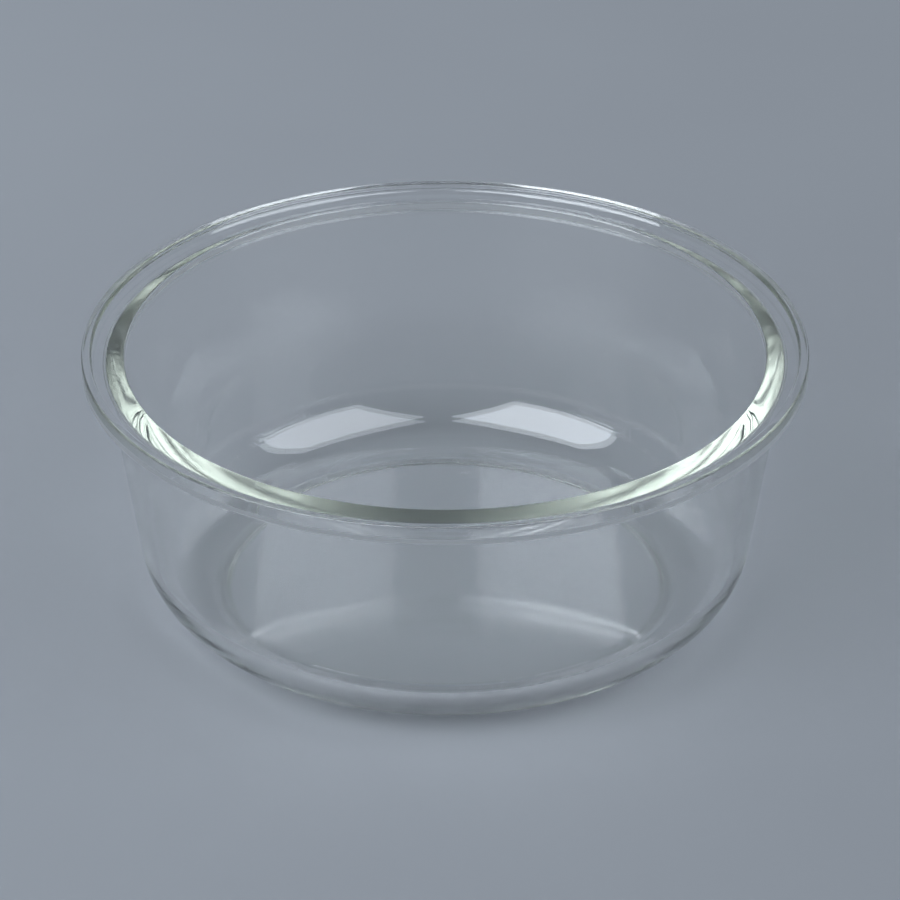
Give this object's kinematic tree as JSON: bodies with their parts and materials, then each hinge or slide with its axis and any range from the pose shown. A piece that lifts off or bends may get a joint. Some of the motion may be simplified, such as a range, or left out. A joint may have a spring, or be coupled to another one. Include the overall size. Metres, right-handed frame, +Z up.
{
  "type": "round glass storage dish",
  "caption": "Round clear pressed-glass storage dish with a drafted wall, a wide rounded corner and a wide flange with a low bead round its edge.",
  "frame": {"origin": "centre of the dish on the surface it stands on, at the middle of the foot ring's resting plane", "axes": "+Z up along the axis of revolution, out of the mouth; X and Y are interchangeable because the dish is round"},
  "size_m": [0.18, 0.18, 0.0685],
  "materials": {
    "clear_glass": "clear pressed glass with a pale green edge, fire-polished"
  },
  "bodies": {
    "root": {"glass_dish": "clear_glass"}
  },
  "joints": []
}
